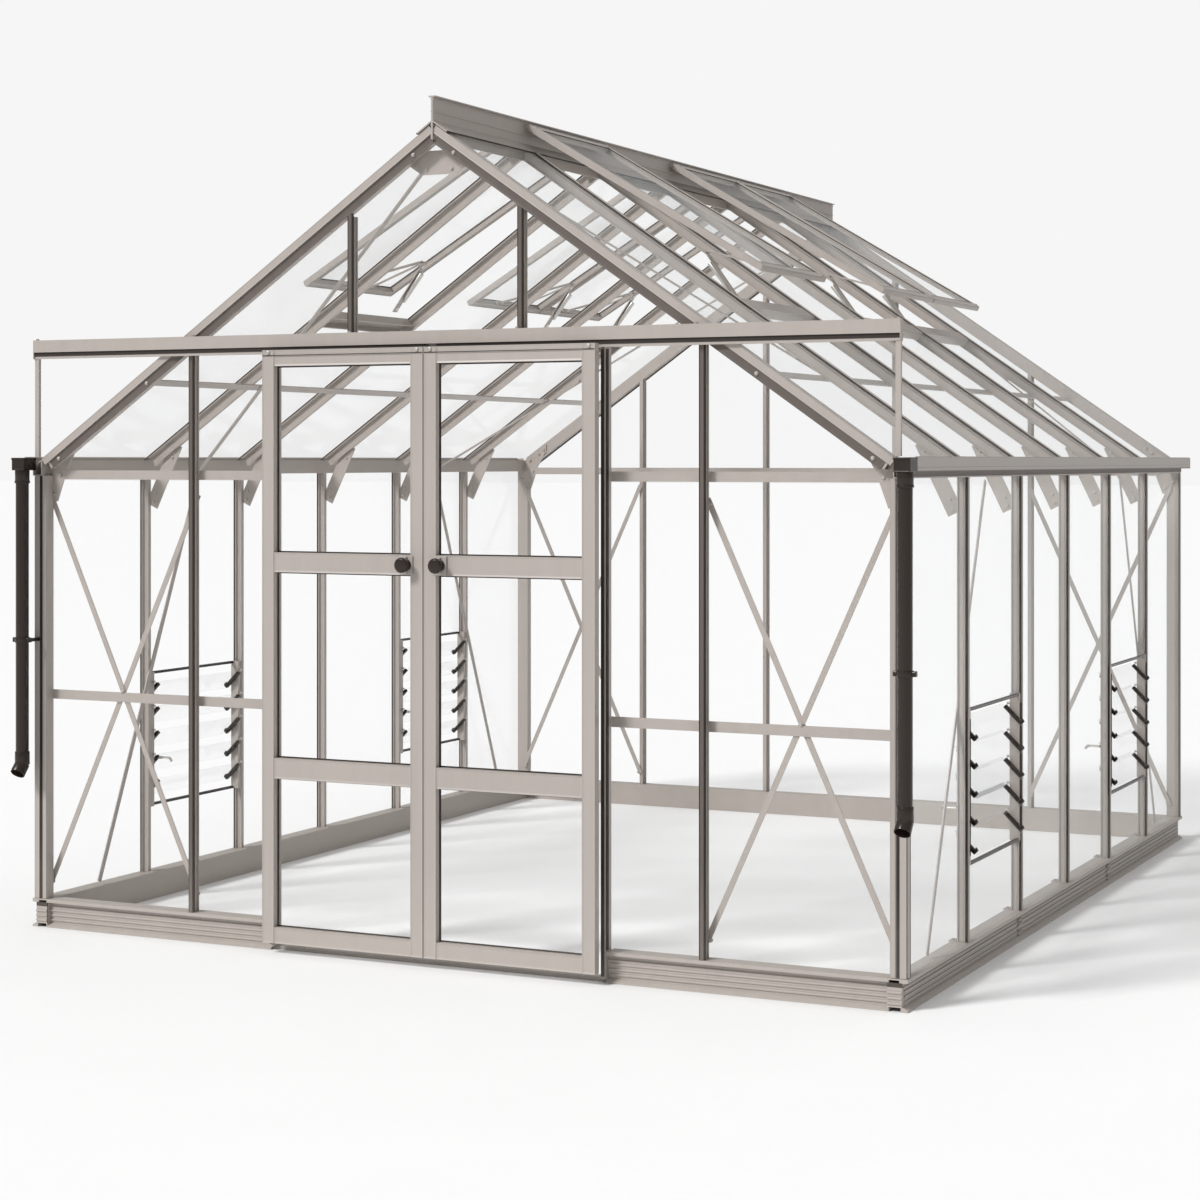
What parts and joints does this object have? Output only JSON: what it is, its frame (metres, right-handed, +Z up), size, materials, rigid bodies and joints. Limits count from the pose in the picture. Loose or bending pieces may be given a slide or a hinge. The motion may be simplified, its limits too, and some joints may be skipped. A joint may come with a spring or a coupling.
{
  "type": "greenhouse",
  "caption": "Aluminium ridge greenhouse with sliding double doors, roof vents, side louvres, gutters and a plinth.",
  "frame": {"origin": "centre of the footprint at ground level, under the middle of the bounding box", "axes": "+Y from the doors to the back gable along the ridge, +X to the right seen from the doors, +Z up"},
  "size_m": [3.184, 3.7932, 2.737],
  "materials": {
    "frame_paint": "satin clay-grey powder coat on extruded aluminium",
    "glass": "clear 3 mm glass",
    "black_plastic": "gloss near-black plastic"
  },
  "bodies": {
    "greenhouse_frame": {"plinth_front": "frame_paint", "plinth_rear": "frame_paint", "ridge_beam": "frame_paint", "gable_frame_front": "frame_paint", "gable_frame_rear": "frame_paint", "gable_glass_front": "glass", "gable_glass_rear": "glass", "door_track": "frame_paint", "plinth_right": "frame_paint", "eaves_gutter_right": "frame_paint", "wall_glass_right": "glass", "roof_glass_right": "glass", "downpipe_right": "black_plastic", "glazing_rib_right_1": "frame_paint", "glazing_rib_right_2": "frame_paint", "glazing_rib_right_3": "frame_paint", "glazing_rib_right_4": "frame_paint", "glazing_rib_right_5": "frame_paint", "plinth_left": "frame_paint", "eaves_gutter_left": "frame_paint", "wall_glass_left": "glass", "roof_glass_left": "glass", "downpipe_left": "black_plastic", "glazing_rib_left_1": "frame_paint", "glazing_rib_left_2": "frame_paint", "glazing_rib_left_3": "frame_paint", "glazing_rib_left_4": "frame_paint", "glazing_rib_left_5": "frame_paint"},
    "door_right": {"door_leaf_right": "frame_paint", "door_glass_right": "glass", "door_knob_right": "black_plastic"},
    "door_left": {"door_leaf_left": "frame_paint", "door_glass_left": "glass", "door_knob_left": "black_plastic"},
    "vent_right_2": {"roof_vent_right_2": "frame_paint"},
    "vent_right_4": {"roof_vent_right_4": "frame_paint"},
    "vent_right_5": {"roof_vent_right_5": "frame_paint"},
    "vent_left_2": {"roof_vent_left_2": "frame_paint"},
    "vent_left_4": {"roof_vent_left_4": "frame_paint"},
    "vent_left_5": {"roof_vent_left_5": "frame_paint"},
    "louvre_right_2_1": {"louvre_blade_right_2_1": "glass"},
    "louvre_right_2_2": {"louvre_blade_right_2_2": "glass"},
    "louvre_right_2_3": {"louvre_blade_right_2_3": "glass"},
    "louvre_right_2_4": {"louvre_blade_right_2_4": "glass"},
    "louvre_right_2_5": {"louvre_blade_right_2_5": "glass"},
    "louvre_right_5_1": {"louvre_blade_right_5_1": "glass"},
    "louvre_right_5_2": {"louvre_blade_right_5_2": "glass"},
    "louvre_right_5_3": {"louvre_blade_right_5_3": "glass"},
    "louvre_right_5_4": {"louvre_blade_right_5_4": "glass"},
    "louvre_right_5_5": {"louvre_blade_right_5_5": "glass"},
    "louvre_left_2_1": {"louvre_blade_left_2_1": "glass"},
    "louvre_left_2_2": {"louvre_blade_left_2_2": "glass"},
    "louvre_left_2_3": {"louvre_blade_left_2_3": "glass"},
    "louvre_left_2_4": {"louvre_blade_left_2_4": "glass"},
    "louvre_left_2_5": {"louvre_blade_left_2_5": "glass"},
    "louvre_left_5_1": {"louvre_blade_left_5_1": "glass"},
    "louvre_left_5_2": {"louvre_blade_left_5_2": "glass"},
    "louvre_left_5_3": {"louvre_blade_left_5_3": "glass"},
    "louvre_left_5_4": {"louvre_blade_left_5_4": "glass"},
    "louvre_left_5_5": {"louvre_blade_left_5_5": "glass"}
  },
  "joints": [
    {"name": "door_right_slide", "type": "slide", "parent": "greenhouse_frame", "child": "door_right", "axis": [1, 0, 0], "range_m": [0, 0.58]},
    {"name": "door_left_slide", "type": "slide", "parent": "greenhouse_frame", "child": "door_left", "axis": [-1, 0, 0], "range_m": [0, 0.58]},
    {"name": "vent_right_2_hinge", "type": "hinge", "parent": "greenhouse_frame", "child": "vent_right_2", "pos_m": [0.02, -0.86635, 2.714], "axis": [0, -1, 0], "range_deg": [-6.4, 28]},
    {"name": "vent_right_4_hinge", "type": "hinge", "parent": "greenhouse_frame", "child": "vent_right_4", "pos_m": [0.02, 0.35365, 2.714], "axis": [0, -1, 0], "range_deg": [-6.4, 28]},
    {"name": "vent_right_5_hinge", "type": "hinge", "parent": "greenhouse_frame", "child": "vent_right_5", "pos_m": [0.02, 0.96365, 2.714], "axis": [0, -1, 0], "range_deg": [-6.4, 28]},
    {"name": "vent_left_2_hinge", "type": "hinge", "parent": "greenhouse_frame", "child": "vent_left_2", "pos_m": [-0.02, -0.86635, 2.714], "axis": [0, 1, 0], "range_deg": [-6.4, 28]},
    {"name": "vent_left_4_hinge", "type": "hinge", "parent": "greenhouse_frame", "child": "vent_left_4", "pos_m": [-0.02, 0.35365, 2.714], "axis": [0, 1, 0], "range_deg": [-6.4, 28]},
    {"name": "vent_left_5_hinge", "type": "hinge", "parent": "greenhouse_frame", "child": "vent_left_5", "pos_m": [-0.02, 0.96365, 2.714], "axis": [0, 1, 0], "range_deg": [-6.4, 28]},
    {"name": "louvre_right_2_1_pivot", "type": "hinge", "parent": "greenhouse_frame", "child": "louvre_right_2_1", "pos_m": [1.533, -0.86635, 0.398], "axis": [0, -1, 0], "range_deg": [-37, 45]},
    {"name": "louvre_right_2_2_pivot", "type": "hinge", "parent": "greenhouse_frame", "child": "louvre_right_2_2", "pos_m": [1.533, -0.86635, 0.486], "axis": [0, -1, 0], "range_deg": [-37, 45]},
    {"name": "louvre_right_2_3_pivot", "type": "hinge", "parent": "greenhouse_frame", "child": "louvre_right_2_3", "pos_m": [1.533, -0.86635, 0.574], "axis": [0, -1, 0], "range_deg": [-37, 45]},
    {"name": "louvre_right_2_4_pivot", "type": "hinge", "parent": "greenhouse_frame", "child": "louvre_right_2_4", "pos_m": [1.533, -0.86635, 0.662], "axis": [0, -1, 0], "range_deg": [-37, 45]},
    {"name": "louvre_right_2_5_pivot", "type": "hinge", "parent": "greenhouse_frame", "child": "louvre_right_2_5", "pos_m": [1.533, -0.86635, 0.75], "axis": [0, -1, 0], "range_deg": [-37, 45]},
    {"name": "louvre_right_5_1_pivot", "type": "hinge", "parent": "greenhouse_frame", "child": "louvre_right_5_1", "pos_m": [1.533, 0.96365, 0.398], "axis": [0, -1, 0], "range_deg": [-37, 45]},
    {"name": "louvre_right_5_2_pivot", "type": "hinge", "parent": "greenhouse_frame", "child": "louvre_right_5_2", "pos_m": [1.533, 0.96365, 0.486], "axis": [0, -1, 0], "range_deg": [-37, 45]},
    {"name": "louvre_right_5_3_pivot", "type": "hinge", "parent": "greenhouse_frame", "child": "louvre_right_5_3", "pos_m": [1.533, 0.96365, 0.574], "axis": [0, -1, 0], "range_deg": [-37, 45]},
    {"name": "louvre_right_5_4_pivot", "type": "hinge", "parent": "greenhouse_frame", "child": "louvre_right_5_4", "pos_m": [1.533, 0.96365, 0.662], "axis": [0, -1, 0], "range_deg": [-37, 45]},
    {"name": "louvre_right_5_5_pivot", "type": "hinge", "parent": "greenhouse_frame", "child": "louvre_right_5_5", "pos_m": [1.533, 0.96365, 0.75], "axis": [0, -1, 0], "range_deg": [-37, 45]},
    {"name": "louvre_left_2_1_pivot", "type": "hinge", "parent": "greenhouse_frame", "child": "louvre_left_2_1", "pos_m": [-1.533, -0.86635, 0.398], "axis": [0, 1, 0], "range_deg": [-37, 45]},
    {"name": "louvre_left_2_2_pivot", "type": "hinge", "parent": "greenhouse_frame", "child": "louvre_left_2_2", "pos_m": [-1.533, -0.86635, 0.486], "axis": [0, 1, 0], "range_deg": [-37, 45]},
    {"name": "louvre_left_2_3_pivot", "type": "hinge", "parent": "greenhouse_frame", "child": "louvre_left_2_3", "pos_m": [-1.533, -0.86635, 0.574], "axis": [0, 1, 0], "range_deg": [-37, 45]},
    {"name": "louvre_left_2_4_pivot", "type": "hinge", "parent": "greenhouse_frame", "child": "louvre_left_2_4", "pos_m": [-1.533, -0.86635, 0.662], "axis": [0, 1, 0], "range_deg": [-37, 45]},
    {"name": "louvre_left_2_5_pivot", "type": "hinge", "parent": "greenhouse_frame", "child": "louvre_left_2_5", "pos_m": [-1.533, -0.86635, 0.75], "axis": [0, 1, 0], "range_deg": [-37, 45]},
    {"name": "louvre_left_5_1_pivot", "type": "hinge", "parent": "greenhouse_frame", "child": "louvre_left_5_1", "pos_m": [-1.533, 0.96365, 0.398], "axis": [0, 1, 0], "range_deg": [-37, 45]},
    {"name": "louvre_left_5_2_pivot", "type": "hinge", "parent": "greenhouse_frame", "child": "louvre_left_5_2", "pos_m": [-1.533, 0.96365, 0.486], "axis": [0, 1, 0], "range_deg": [-37, 45]},
    {"name": "louvre_left_5_3_pivot", "type": "hinge", "parent": "greenhouse_frame", "child": "louvre_left_5_3", "pos_m": [-1.533, 0.96365, 0.574], "axis": [0, 1, 0], "range_deg": [-37, 45]},
    {"name": "louvre_left_5_4_pivot", "type": "hinge", "parent": "greenhouse_frame", "child": "louvre_left_5_4", "pos_m": [-1.533, 0.96365, 0.662], "axis": [0, 1, 0], "range_deg": [-37, 45]},
    {"name": "louvre_left_5_5_pivot", "type": "hinge", "parent": "greenhouse_frame", "child": "louvre_left_5_5", "pos_m": [-1.533, 0.96365, 0.75], "axis": [0, 1, 0], "range_deg": [-37, 45]}
  ],
  "couplings": [
    {"joint": "louvre_right_2_2_pivot", "follows": "louvre_right_2_1_pivot", "ratio": 1},
    {"joint": "louvre_right_2_3_pivot", "follows": "louvre_right_2_1_pivot", "ratio": 1},
    {"joint": "louvre_right_2_4_pivot", "follows": "louvre_right_2_1_pivot", "ratio": 1},
    {"joint": "louvre_right_2_5_pivot", "follows": "louvre_right_2_1_pivot", "ratio": 1},
    {"joint": "louvre_right_5_2_pivot", "follows": "louvre_right_5_1_pivot", "ratio": 1},
    {"joint": "louvre_right_5_3_pivot", "follows": "louvre_right_5_1_pivot", "ratio": 1},
    {"joint": "louvre_right_5_4_pivot", "follows": "louvre_right_5_1_pivot", "ratio": 1},
    {"joint": "louvre_right_5_5_pivot", "follows": "louvre_right_5_1_pivot", "ratio": 1},
    {"joint": "louvre_left_2_2_pivot", "follows": "louvre_left_2_1_pivot", "ratio": 1},
    {"joint": "louvre_left_2_3_pivot", "follows": "louvre_left_2_1_pivot", "ratio": 1},
    {"joint": "louvre_left_2_4_pivot", "follows": "louvre_left_2_1_pivot", "ratio": 1},
    {"joint": "louvre_left_2_5_pivot", "follows": "louvre_left_2_1_pivot", "ratio": 1},
    {"joint": "louvre_left_5_2_pivot", "follows": "louvre_left_5_1_pivot", "ratio": 1},
    {"joint": "louvre_left_5_3_pivot", "follows": "louvre_left_5_1_pivot", "ratio": 1},
    {"joint": "louvre_left_5_4_pivot", "follows": "louvre_left_5_1_pivot", "ratio": 1},
    {"joint": "louvre_left_5_5_pivot", "follows": "louvre_left_5_1_pivot", "ratio": 1}
  ]
}
